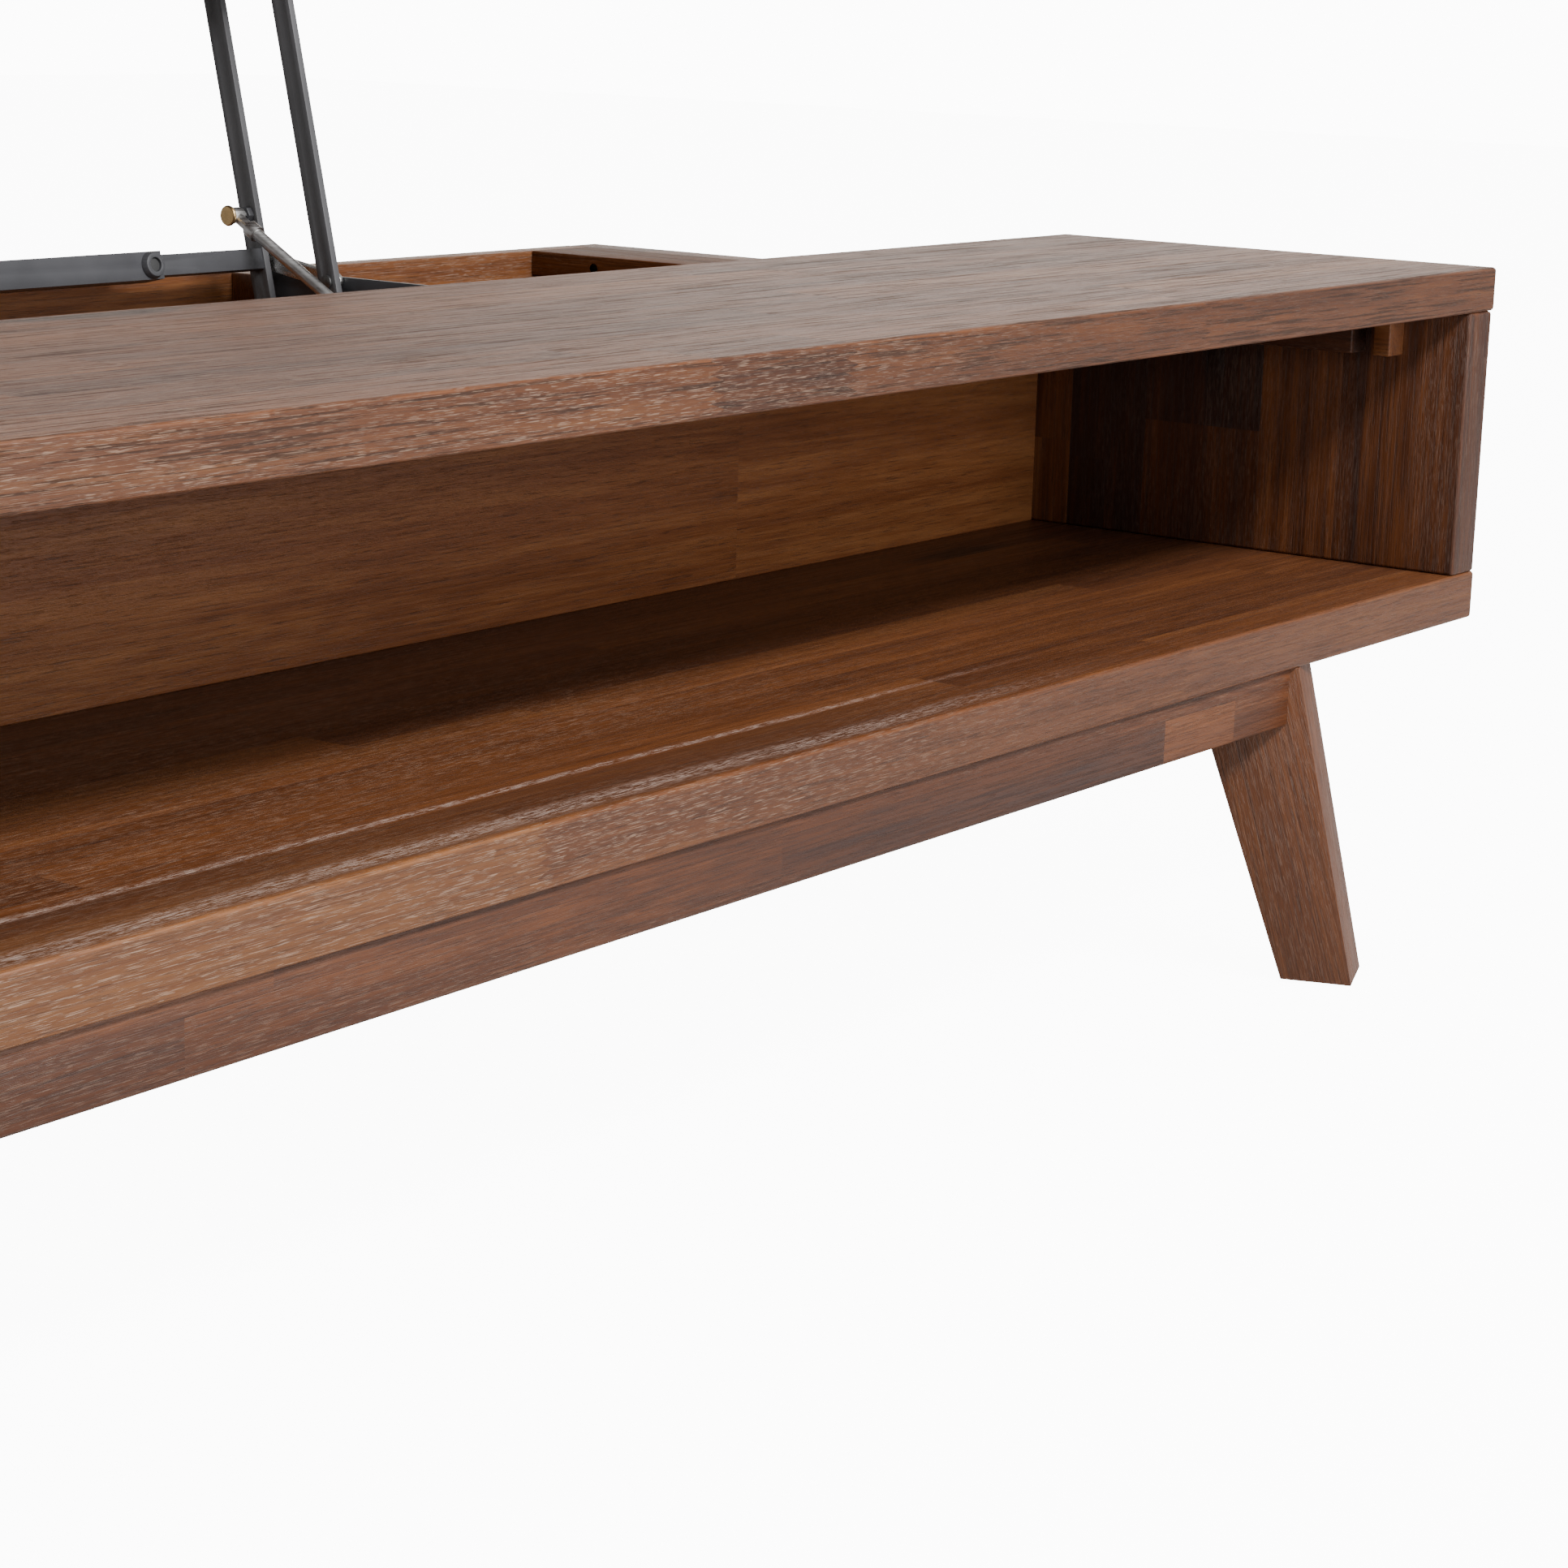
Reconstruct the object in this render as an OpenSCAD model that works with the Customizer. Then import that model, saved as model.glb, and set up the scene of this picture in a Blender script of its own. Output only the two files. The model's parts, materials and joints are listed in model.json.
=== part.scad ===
// Lift top coffee table in solid acacia: an open shelf along the front and a
// storage well behind it, under a lid that rises towards the sitter on two
// parallel-arm lifts. The lid is drawn raised, which is the rest pose.
//
// Millimetres, +Z up, +X along the length to the right, +Y from the open shelf
// to the sitter's side. The origin is on the floor under the middle of the
// object's box with the lid raised. Inside on_table() Y runs from the front
// face of the box, and heights are measured from the floor.

/* [Table] */
// Length of the fixed top and of the lid
table_length = 1600; // [1500:10:1800]
// Depth over the fixed top and the closed lid
table_depth = 754; // [700:2:900]
// Thickness of the fixed top and of the lid
top_thickness = 28; // [22:1:36]
// Depth of the fixed top, front to back
shelf_top_depth = 328; // [280:2:380]
// Clear height of the open shelf
shelf_clear_height = 170; // [150:2:230]
// Thickness of the bottom board
bottom_thickness = 31; // [24:1:38]
// Thickness of the two side panels
side_thickness = 31; // [24:1:38]
// How far the tops overhang the side panels and the rear panel
top_overhang = 3; // [1:0.5:8]
// Radius of the rounded long edges of the boards
edge_radius = 2.5; // [1:0.5:5]

/* [Well] */
// Thickness of the panel between the shelf and the well
divider_thickness = 19; // [15:1:24]
// How much of the divider stands under the fixed top
divider_tuck = 4.5; // [3:0.5:8]
// Thickness of the rear panel
rear_thickness = 18; // [15:1:24]
// Thickness of the partitions that carry the lifts
partition_thickness = 18; // [15:1:22]
// Gap between the closed lid and the rim of the well
rim_gap = 7; // [6:0.5:9]
// Gap between the fixed top and the closed lid
lid_gap = 3; // [2:0.5:5]
// Width of the rest rail along each end of the well
rest_rail_width = 64; // [40:2:80]
// Thickness of the rest rail
rest_rail_thickness = 18; // [14:1:24]
// Side of the square corner blocks in the well
corner_block_side = 28; // [20:1:36]

/* [Legs and base] */
// Height of the legs, floor to bottom board
leg_height = 198; // [150:2:240]
// Thickness of the leg plank
leg_thickness = 46; // [36:1:50]
// Width of the leg at its top
leg_top_width = 70; // [56:1:80]
// Width of the leg at the floor
leg_foot_width = 43.5; // [34:1:50]
// How far the back edge of the leg runs out on its way to the floor
leg_splay = 70.5; // [40:1:80]
// Turn of the leg plank about the vertical, towards the corner
leg_turn = 20.5; // [10:0.2:35]
// Distance from the table's end to the leg's inner back corner
leg_inset = 263.5; // [220:2:320]
// Height of the aprons and cross rails
apron_height = 36; // [30:1:60]
// Thickness of the aprons and cross rails
apron_thickness = 22; // [18:1:28]
// How far the aprons stand back from the box
apron_setback = 4.5; // [2:0.5:12]
// Thickness of the foot glides
glide_height = 2; // [1.5:0.5:4]
// Diameter of the foot glides
glide_diameter = 24; // [18:1:30]

/* [Lift] */
// Length of the arms between their pivots
arm_length = 262; // [248:1:266]
// Width of the arms
arm_width = 15; // [13:0.5:18]
// Thickness of the arms
arm_thickness = 5; // [4:0.5:6]
// Lean of the raised arms past the vertical
arm_lean = 13.1; // [8:0.1:20]
// Slope of the arms above level with the lid closed
closed_slope = 8.4; // [6:0.1:14]
// Distance from the rear pivot to the rear panel's inner face
pivot_to_rear = 51.1; // [46:0.1:60]
// Drop of the rear base pivot below the closed lid's underside
pivot_drop = 60; // [54:0.5:72]
// Spacing of the two base pivots, front to back
pivot_pitch = 64.8; // [58:0.1:72]
// Height of the rear base pivot over the front one
pivot_rise = 10; // [8:0.5:16]
// Distance from the table's end to the carrying face of a partition
lift_inset = 409; // [380:1:470]
// Thickness of the steel plates
plate_thickness = 3; // [2:0.5:4]
// Gap between the base plates and the arms
arm_gap = 5; // [4.5:0.5:7]
// Radius of the pivot pins
pin_radius = 4; // [3:0.5:5]
// Radial clearance of a hole that turns on a pin
running_clearance = 0.05; // [0.02:0.01:0.1]
// Radial clearance of a hole that holds a fixed bolt or dowel
fixed_clearance = 0.02; // [0.01:0.01:0.05]
// Distance of the cross tube and the tie link from the base pivots
link_reach = 66.2; // [56:0.2:70]
// Width of the tie links
link_width = 12; // [10:0.5:14]
// Thickness of the tie links
link_thickness = 2.5; // [2:0.5:3]
// Outer side of the square cross tube
tube_side = 13.4; // [12:0.2:16]
// Outer side of the sleeve that the cross tube slides in
sleeve_side = 18; // [16:0.2:20]
// Wall of the cross tube and of its sleeve
tube_wall = 1.5; // [1:0.25:2]
// Distance from the table's end to the sleeve's open end
sleeve_end_inset = 515; // [500:1:600]

/* [Gas strut] */
// Distance of the upper ball stud from the rear base pivot
stud_reach = 96.3; // [92:0.5:104]
// Distance of the strut's centre line from the arms
strut_offset = 12; // [11.8:0.2:16]
// Distance of the lower ball stud from the divider's back face
strut_foot_gap = 32; // [18:0.5:40]
// Height of the lower ball stud over the bottom board
strut_foot_height = 20; // [16:0.5:48]
// Radius of the piston rod
rod_radius = 4; // [2.5:0.5:4]
// Radius of the gas cylinder
cylinder_radius = 9; // [8:0.5:10]
// Radius of the ball studs' shanks
stud_radius = 3; // [2.5:0.5:3.5]
// Radius of the rod's and the cylinder's end sockets
socket_radius = 5.2; // [5:0.1:6]

/* [Hidden] */

// Height of the closed lid's and the fixed top's upper faces
top_z = leg_height + bottom_thickness + shelf_clear_height + top_thickness;
// Underside of the fixed top, and of the closed lid
under_z = top_z - top_thickness;
// Rim of the well
rim_z = under_z - rim_gap;
// Upper face of the bottom board
floor_z = leg_height + bottom_thickness;
box_half = table_length / 2 - top_overhang;
box_depth = table_depth - top_overhang;
inner_half = box_half - side_thickness;
divider_y = shelf_top_depth - divider_tuck;
well_front = divider_y + divider_thickness;
well_rear = box_depth - rear_thickness;

// Direction of the arms, front to back and up, at rest and with the lid closed
open_dir = [sin(arm_lean), cos(arm_lean)];
closed_dir = [-cos(closed_slope), sin(closed_slope)];
fold_angle = 90 - closed_slope + arm_lean;
// Pivots of the lift, as [front to back, height]
rear_pivot = [well_rear - pivot_to_rear, under_z - pivot_drop];
front_pivot = rear_pivot - [pivot_pitch, pivot_rise];
rear_top_pivot = rear_pivot + arm_length * open_dir;
front_top_pivot = front_pivot + arm_length * open_dir;
lid_travel = arm_length * (open_dir - closed_dir);
rear_link_pivot = rear_pivot + link_reach * open_dir;
front_link_pivot = front_pivot + link_reach * open_dir;
upper_stud = rear_pivot + stud_reach * open_dir;
lower_stud = [well_front + strut_foot_gap, floor_z + strut_foot_height];
strut_vector = upper_stud - lower_stud;
strut_length = norm(strut_vector);
strut_angle = atan2(strut_vector[1], strut_vector[0]);
closed_stud = rear_pivot + stud_reach * closed_dir;
strut_stroke = strut_length - norm(closed_stud - lower_stud);

// Layers of the right-hand lift, across the table
plate_x = table_length / 2 - lift_inset - plate_thickness;
arm_x = plate_x - arm_gap - arm_thickness;
strut_x = arm_x - strut_offset;
link_x = plate_x - arm_gap / 2 - link_thickness / 2 + 0.45;
web_x = arm_x + arm_thickness + 0.5;
pin_head = 2.6;

// Leg plank in plan: its inner back corner and its reach past the box
leg_corner = [table_length / 2 - leg_inset, leg_top_width * cos(leg_turn)];
leg_reach = (leg_splay + leg_foot_width - leg_top_width) * cos(leg_turn);
// Y of the box's front face, so that the raised object is centred on the origin
front_y = -(table_depth + lid_travel[0] - leg_reach) / 2;

board_color = [0.48, 0.27, 0.14];
end_color = [0.55, 0.32, 0.17];
steel_color = [0.16, 0.16, 0.17];
zinc_color = [0.72, 0.72, 0.70];
brass_color = [0.72, 0.58, 0.32];
rubber_color = [0.12, 0.11, 0.11];

module on_table() translate([0, front_y, 0]) children();

module mirror_x() {
    children();
    mirror([1, 0, 0]) children();
}

// Side 1 is the right-hand end, side -1 the left-hand end
module to_side(side) {
    if (side > 0) children();
    else mirror([1, 0, 0]) children();
}

// Rounded rectangle from the origin, with round corners as true arcs
module rounded_rect(w, h, r) {
    translate([r, 0]) square([w - 2 * r, h]);
    translate([0, r]) square([w, h - 2 * r]);
    for (x = [r, w - r], y = [r, h - r]) translate([x, y]) circle(r, $fn = 24);
}

// Board along X, centred on X, with rounded long edges
module long_board(length, depth, height, r = edge_radius) {
    translate([-length / 2, 0, 0])
        rotate([90, 0, 90])
            linear_extrude(length) rounded_rect(depth, height, r);
}

// Flat profile in the front-to-back plane, given a thickness across the table
module across(x, thickness) {
    translate([x, 0, 0]) rotate([90, 0, 90]) linear_extrude(thickness) children();
}

// Round bar across the table from x1 to x2, through a [front to back, height] point
module cross_bar(at, x1, x2, radius) {
    translate([x1, at[0], at[1]]) rotate([0, 90, 0]) cylinder(h = x2 - x1, r = radius, $fn = 48);
}

// Countersunk wood screw, pointing up, with its head's face at the origin
module wood_screw(length, radius) {
    cylinder(h = length, r = radius, $fn = 24);
    cylinder(h = radius, r1 = 2 * radius, r2 = radius, $fn = 24);
}

// ---- boards ----

module fixed_top() color(board_color) on_table()
    translate([0, 0, under_z]) long_board(table_length, shelf_top_depth, top_thickness);

module lid() color(board_color) on_table()
    translate([0, shelf_top_depth + lid_gap + lid_travel[0], under_z + lid_travel[1]])
        long_board(table_length, table_depth - shelf_top_depth - lid_gap, top_thickness);

module bottom_board() color(board_color) on_table() difference() {
    translate([0, 0, leg_height]) long_board(2 * box_half, box_depth, bottom_thickness);
    every_leg() dowels_of_leg(fixed_clearance);
}

// Side panel, stepped down behind the fixed top to the rim of the well
module side_panel(side) color(end_color) on_table() to_side(side)
    across(inner_half, side_thickness) polygon([
        [0, floor_z], [box_depth, floor_z], [box_depth, rim_z],
        [shelf_top_depth, rim_z], [shelf_top_depth, under_z], [0, under_z]
    ]);

module side_panel_left() side_panel(-1);
module side_panel_right() side_panel(1);

module divider_panel() color(board_color) on_table()
    across(-inner_half, 2 * inner_half) polygon([
        [divider_y, floor_z], [well_front, floor_z], [well_front, rim_z],
        [shelf_top_depth, rim_z], [shelf_top_depth, under_z], [divider_y, under_z]
    ]);

module rear_panel() color(board_color) on_table()
    translate([-inner_half, well_rear, floor_z])
        cube([2 * inner_half, rear_thickness, rim_z - floor_z]);

module partition(side) color(end_color) on_table() to_side(side)
    translate([table_length / 2 - lift_inset, well_front, floor_z])
        cube([partition_thickness, well_rear - well_front, rim_z - floor_z]);

module partition_left() partition(-1);
module partition_right() partition(1);

module rest_rail(side) color(board_color) on_table() to_side(side)
    translate([inner_half - rest_rail_width, well_front, rim_z - rest_rail_thickness])
        cube([rest_rail_width, well_rear - well_front, rest_rail_thickness]);

module rest_rail_left() rest_rail(-1);
module rest_rail_right() rest_rail(1);

// Cleats and small blocks hold the fixed top down to the side panels
cleat_width = 20;
cleat_height = 30;
cleat_setback = 73;
block_setback = 46;
block_length = 12;

module top_cleat(side) color(end_color) on_table() to_side(side)
    translate([inner_half - cleat_width, cleat_setback, under_z - cleat_height])
        cube([cleat_width, divider_y - cleat_setback, cleat_height]);

module top_cleat_left() top_cleat(-1);
module top_cleat_right() top_cleat(1);

module fixing_block(side) color(end_color) on_table() to_side(side)
    translate([inner_half - cleat_width, block_setback, under_z - cleat_height])
        cube([cleat_width, block_length, cleat_height]);

module fixing_block_left() fixing_block(-1);
module fixing_block_right() fixing_block(1);

module corner_block(side) color(board_color) on_table() to_side(side)
    translate([inner_half - corner_block_side, well_rear - corner_block_side, floor_z])
        cube([corner_block_side, corner_block_side, rim_z - rest_rail_thickness - floor_z]);

module corner_block_left() corner_block(-1);
module corner_block_right() corner_block(1);

screw_radius = 2;

// Screws up through the cleats, the fixing blocks and the rest rails' side edge
module cleat_screws() color(zinc_color) on_table() mirror_x() {
    for (y = [block_setback + block_length / 2, cleat_setback + 14, divider_y - 30])
        translate([inner_half - cleat_width / 2, y, under_z - cleat_height])
            wood_screw(cleat_height + 0.6 * top_thickness, screw_radius);
    for (y = [well_front + 60, (well_front + well_rear) / 2, well_rear - 60])
        translate([inner_half - rest_rail_width, y, rim_z - rest_rail_thickness / 2])
            rotate([0, 90, 0]) wood_screw(rest_rail_width + 0.6 * side_thickness, screw_radius);
}

// Screws up through the bottom board into the upright panels
module panel_screws() color(zinc_color) on_table() translate([0, 0, leg_height]) {
    depth = 2 * bottom_thickness;
    mirror_x() {
        for (y = [0.12, 0.5, 0.88] * box_depth)
            translate([inner_half + side_thickness / 2, y, 0]) wood_screw(depth, screw_radius);
        for (y = [well_front + 50, well_rear - 50])
            translate([table_length / 2 - lift_inset + partition_thickness / 2, y, 0])
                wood_screw(depth, screw_radius);
        for (x = [0.06, 0.34, 0.82] * inner_half) {
            translate([x, divider_y + divider_thickness / 2, 0]) wood_screw(depth, screw_radius);
            translate([x, well_rear + rear_thickness / 2, 0]) wood_screw(depth, screw_radius);
        }
    }
}

// ---- base ----

// A rail between two legs, its ends cut to the turned faces of the leg planks
module apron() {
    end_gap = 0.1;
    function leg_face_x(y) = leg_corner[0] + (leg_corner[1] - y) * tan(leg_turn) - end_gap;
    y1 = apron_setback;
    y2 = apron_setback + apron_thickness;
    translate([0, 0, leg_height - apron_height]) linear_extrude(apron_height) polygon([
        [-leg_face_x(y1), y1], [leg_face_x(y1), y1], [leg_face_x(y2), y2], [-leg_face_x(y2), y2]
    ]);
}

// Turns something at the front of the base into its match at the rear
module to_rear() translate([0, box_depth, 0]) mirror([0, 1, 0]) children();

module apron_front() color(board_color) on_table() apron();
module apron_rear() color(board_color) on_table() to_rear() apron();

rail_inset = 52;

module cross_rail(x) color(board_color) on_table()
    translate([x - apron_thickness / 2, apron_setback + apron_thickness, leg_height - apron_height])
        cube([apron_thickness, box_depth - 2 * (apron_setback + apron_thickness), apron_height]);

module cross_rail_left() cross_rail(-(leg_corner[0] - rail_inset));
module cross_rail_middle() cross_rail(0);
module cross_rail_right() cross_rail(leg_corner[0] - rail_inset);

// Front right leg's own plane: X along the plank towards the corner, Y through it
module in_leg_plane()
    translate([leg_corner[0], leg_corner[1], 0]) rotate([0, 0, leg_turn - 90]) children();

// A tapered plank that leans out in its own plane
module leg() difference() {
    in_leg_plane() rotate([90, 0, 0]) translate([0, 0, -leg_thickness])
        linear_extrude(leg_thickness) polygon([
            [0, leg_height], [leg_top_width, leg_height],
            [leg_splay + leg_foot_width, glide_height], [leg_splay, glide_height]
        ]);
    dowels_of_leg(fixed_clearance);
    glide_pin(fixed_clearance);
}

module every_leg() mirror_x() {
    children();
    to_rear() children();
}

module leg_front_left() color(end_color) on_table() mirror([1, 0, 0]) leg();
module leg_front_right() color(end_color) on_table() leg();
module leg_rear_left() color(end_color) on_table() mirror([1, 0, 0]) to_rear() leg();
module leg_rear_right() color(end_color) on_table() to_rear() leg();

dowel_radius = 5;

module dowels_of_leg(clearance = 0) in_leg_plane()
    for (along = [0.3, 0.7]) translate([along * leg_top_width, leg_thickness / 2, leg_height])
        cylinder(h = 1.6 * bottom_thickness, r = dowel_radius + clearance, center = true, $fn = 32);

module leg_dowels() color([0.8, 0.66, 0.45]) on_table() every_leg() dowels_of_leg();

module glide_pin(clearance = 0) in_leg_plane()
    translate([leg_splay + leg_foot_width / 2, leg_thickness / 2, 0])
        cylinder(h = 6 * glide_height, r = screw_radius + clearance, $fn = 24);

module foot_glides() color(rubber_color) on_table() every_leg() {
    in_leg_plane() translate([leg_splay + leg_foot_width / 2, leg_thickness / 2, 0])
        cylinder(h = glide_height, r = glide_diameter / 2, $fn = 48);
    glide_pin();
}

// Screws up through the aprons and rails into the bottom board
module rail_screws() color(zinc_color) on_table() translate([0, 0, leg_height - apron_height]) {
    depth = apron_height + 0.6 * bottom_thickness;
    apron_mid = apron_setback + apron_thickness / 2;
    for (x = [-0.85, -0.3, 0.3, 0.85] * leg_corner[0], y = [apron_mid, box_depth - apron_mid])
        translate([x, y, 0]) wood_screw(depth, screw_radius);
    for (x = [-1, 0, 1] * (leg_corner[0] - rail_inset), y = [0.3, 0.7] * box_depth)
        translate([x, y, 0]) wood_screw(depth, screw_radius);
}

// Rubber dots on the rear panel's rim that the closed lid comes down on
module lid_bumpers() color(rubber_color) on_table() mirror_x() {
    dot_clearance = 0.3;
    dot_radius = 5;
    translate([table_length / 10, well_rear + rear_thickness / 2, rim_z])
        cylinder(h = rim_gap - dot_clearance, r = dot_radius, $fn = 32);
}

// ---- lift ----

// Gap between the base plates' top edge and the closed lid
plate_top_gap = 2.5;

// Steel plate on a partition: a rail along the rim, a wide stretch round the
// base pivots and a foot down to the strut's bracket
module base_plate(side) color(steel_color) on_table() to_side(side) {
    top = under_z - plate_top_gap;
    rear = rear_pivot[0] + 24;
    front = lower_stud[0] - 13;
    pivot_front = front_pivot[0] - 20;
    foot_rear = lower_stud[0] + 17;
    difference() {
        across(plate_x, plate_thickness) polygon([
            [front, lower_stud[1] - 16], [foot_rear, lower_stud[1] - 16],
            [foot_rear, top - 46], [pivot_front - 22, top - 46],
            [pivot_front, front_pivot[1] - 18], [rear, front_pivot[1] - 18],
            [rear, top], [front, top]
        ]);
        for (pivot = [rear_pivot, front_pivot])
            cross_bar(pivot, plate_x - 1, plate_x + plate_thickness + 1, pin_radius + fixed_clearance);
        cross_bar(lower_stud, plate_x - 1, plate_x + plate_thickness + 1, stud_radius + fixed_clearance);
        plate_screw_places() countersunk_screw(fixed_clearance);
    }
}

module base_plate_left() base_plate(-1);
module base_plate_right() base_plate(1);

// Shouldered pins that the arms turn on: spacer washer, shank and head
module base_pins() color(zinc_color) on_table() mirror_x()
    for (pivot = [rear_pivot, front_pivot]) {
        cross_bar(pivot, arm_x - pin_head, plate_x + plate_thickness, pin_radius);
        cross_bar(pivot, arm_x - pin_head, arm_x - 0.3, pin_radius + 2.4);
        cross_bar(pivot, arm_x + arm_thickness + 0.3, plate_x, pin_radius + 2.4);
    }

// Places of the screws on a base plate's face, pointing into the partition
module plate_screw_places() {
    top = under_z - plate_top_gap;
    rear = rear_pivot[0] + 24;
    front = lower_stud[0] - 13;
    for (at = [[rear - 9, top - 12], [rear - 9, front_pivot[1] - 8], [front_pivot[0] - 8, top - 12],
               [0.5 * (front + rear) - 10, top - 34], [front + 10, top - 34]])
        translate([plate_x, at[0], at[1]]) rotate([0, 90, 0]) children();
}

// Screw with a countersunk head just below the plate's face; with a clearance, its hole
module countersunk_screw(clearance = 0) {
    head_depth = 0.2;
    head_radius = 3.6;
    shank_radius = 1.8;
    cylinder(h = plate_thickness + 14, r = shank_radius + clearance, $fn = 24);
    translate([0, 0, head_depth])
        cylinder(h = shank_radius, r1 = head_radius + clearance, r2 = shank_radius + clearance, $fn = 32);
    if (clearance > 0) translate([0, 0, -1])
        cylinder(h = 1 + head_depth, r = head_radius + clearance, $fn = 32);
}

// Screws through the base plates into the partitions
module plate_screws() color(zinc_color) on_table() mirror_x()
    plate_screw_places() difference() {
        countersunk_screw();
        translate([0, 0, -1]) cylinder(h = 1.2, r = 4, $fn = 32);
    }

// Flat bar between two pivots, with round ends and turning holes
module flat_link(from, to, x, width, thickness, hole_radius) difference() {
    run = to - from;
    union() {
        for (pivot = [from, to]) cross_bar(pivot, x, x + thickness, width / 2);
        translate([x, from[0], from[1]]) rotate([atan2(run[1], run[0]), 0, 0])
            translate([0, 0, -width / 2]) cube([thickness, norm(run), width]);
    }
    for (pivot = [from, to])
        cross_bar(pivot, x - 1, x + thickness + 1, hole_radius);
}

module rear_arm(side) color(steel_color) on_table() to_side(side) difference() {
    flat_link(rear_pivot, rear_top_pivot, arm_x, arm_width, arm_thickness,
              pin_radius + running_clearance);
    cross_bar(rear_link_pivot, arm_x - 1, arm_x + arm_thickness + 1, stud_radius + fixed_clearance);
    cross_bar(upper_stud, arm_x - 1, arm_x + arm_thickness + 1, stud_radius + fixed_clearance);
}

module rear_arm_left() rear_arm(-1);
module rear_arm_right() rear_arm(1);

module front_arm(side) color(steel_color) on_table() to_side(side) difference() {
    flat_link(front_pivot, front_top_pivot, arm_x, arm_width, arm_thickness,
              pin_radius + running_clearance);
    cross_bar(front_link_pivot, arm_x - 1, arm_x + arm_thickness + 1, stud_radius + fixed_clearance);
}

module front_arm_left() front_arm(-1);
module front_arm_right() front_arm(1);

// Square tube across the table, turned with the arms, centred on the link pivots
module square_tube(x1, x2, side, wall) translate([x1, rear_link_pivot[0], rear_link_pivot[1]])
    rotate([90 - arm_lean, 0, 0]) rotate([0, 90, 0]) difference() {
        translate([-side / 2, -side / 2, 0]) cube([side, side, x2 - x1]);
        translate([-side / 2 + wall, -side / 2 + wall, -1])
            cube([side - 2 * wall, side - 2 * wall, x2 - x1 + 2]);
    }

end_plug = 8;
sleeve_overlap = 180;
sleeve_x = table_length / 2 - sleeve_end_inset;

// Slim tube from the right-hand rear arm, closed by a plug where the bolt bites
module cross_tube() color(steel_color) on_table() difference() {
    union() {
        square_tube(sleeve_x - sleeve_overlap, arm_x, tube_side, tube_wall);
        tube_plug(arm_x - end_plug, arm_x, tube_side - 0.02);
    }
    tube_bolt_shanks(fixed_clearance);
    sleeve_bolt_shank(fixed_clearance);
}

// Wide tube from the left-hand rear arm, open over the slim one
module cross_sleeve() color(steel_color) on_table() difference() {
    union() {
        square_tube(-arm_x, sleeve_x, sleeve_side, tube_wall);
        tube_plug(-arm_x, -arm_x + end_plug, sleeve_side - 0.02);
    }
    tube_bolt_shanks(fixed_clearance);
    sleeve_bolt_shank(fixed_clearance);
}

module tube_plug(x1, x2, side) translate([x1, rear_link_pivot[0], rear_link_pivot[1]])
    rotate([90 - arm_lean, 0, 0]) rotate([0, 90, 0])
        translate([-side / 2, -side / 2, 0]) cube([side, side, x2 - x1]);

module tube_bolt_shanks(clearance = 0) mirror_x()
    cross_bar(rear_link_pivot, arm_x - end_plug - 1, arm_x + arm_thickness + 1, stud_radius + clearance);

// Direction through the arms' flat side, used by the sleeve's clamp bolt
module through_tube() translate([sleeve_x - sleeve_side / 2, rear_link_pivot[0], rear_link_pivot[1]])
    rotate([90 - arm_lean, 0, 0]) children();

module sleeve_bolt_shank(clearance = 0) through_tube() {
    nut_end = sleeve_side / 2 + 3;
    head_end = sleeve_side / 2 + 0.5;
    translate([0, 0, -nut_end]) cylinder(h = nut_end + head_end, r = 2.5 + clearance, $fn = 32);
}

// Clamp bolt with a wide hollow head, and its nut behind the sleeve
module sleeve_bolt() color(steel_color) on_table() {
    head_radius = sleeve_side / 2;
    head_height = 4;
    socket_radius = 4.6;
    socket_floor = 0.8;
    sleeve_bolt_shank();
    through_tube() {
        translate([0, 0, sleeve_side / 2 + 0.02]) difference() {
            cylinder(h = head_height, r1 = head_radius, r2 = head_radius - 1.5, $fn = 48);
            translate([0, 0, socket_floor]) cylinder(h = head_height, r = socket_radius, $fn = 48);
        }
        translate([0, 0, -sleeve_side / 2 - 4.02]) cylinder(h = 4, r = 4.6, $fn = 6);
    }
}

// Bolts through the rear arms into the tube's ends, each holding a tie link too
module tube_bolts() color(zinc_color) on_table() mirror_x() {
    cross_bar(rear_link_pivot, arm_x - end_plug, link_x + link_thickness + 0.05, stud_radius);
    cross_bar(rear_link_pivot, link_x + link_thickness + 0.05, plate_x - 0.3, stud_radius + 2.6);
}

// Ball studs on the rear arms, with the brass end caps that close the sockets
module upper_ball_studs() color(brass_color) on_table() mirror_x() {
    cross_bar(upper_stud, strut_x - 5, arm_x + arm_thickness, stud_radius);
    cross_bar(upper_stud, arm_x - 4.5, arm_x, stud_radius + 2.6);
    cross_bar(upper_stud, strut_x - 7.8, strut_x - 5, socket_radius + 0.5);
}

// Zinc link that keeps the two arms in step, behind them
module tie_link(side) color(zinc_color) on_table() to_side(side)
    flat_link(front_link_pivot, rear_link_pivot, link_x, link_width, link_thickness,
              stud_radius + running_clearance);

module tie_link_left() tie_link(-1);
module tie_link_right() tie_link(1);

// Rivet that holds a tie link to its front arm
module tie_rivet(side) color(zinc_color) on_table() to_side(side) {
    cross_bar(front_link_pivot, arm_x - 1.4, link_x + link_thickness + 0.05, stud_radius);
    cross_bar(front_link_pivot, arm_x - 1.4, arm_x, stud_radius + 1.6);
    cross_bar(front_link_pivot, link_x + link_thickness + 0.05, plate_x - 0.4, stud_radius + 1.6);
}

module tie_rivet_left() tie_rivet(-1);
module tie_rivet_right() tie_rivet(1);

flange_width = 34;
flange_margin = 13;

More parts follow.
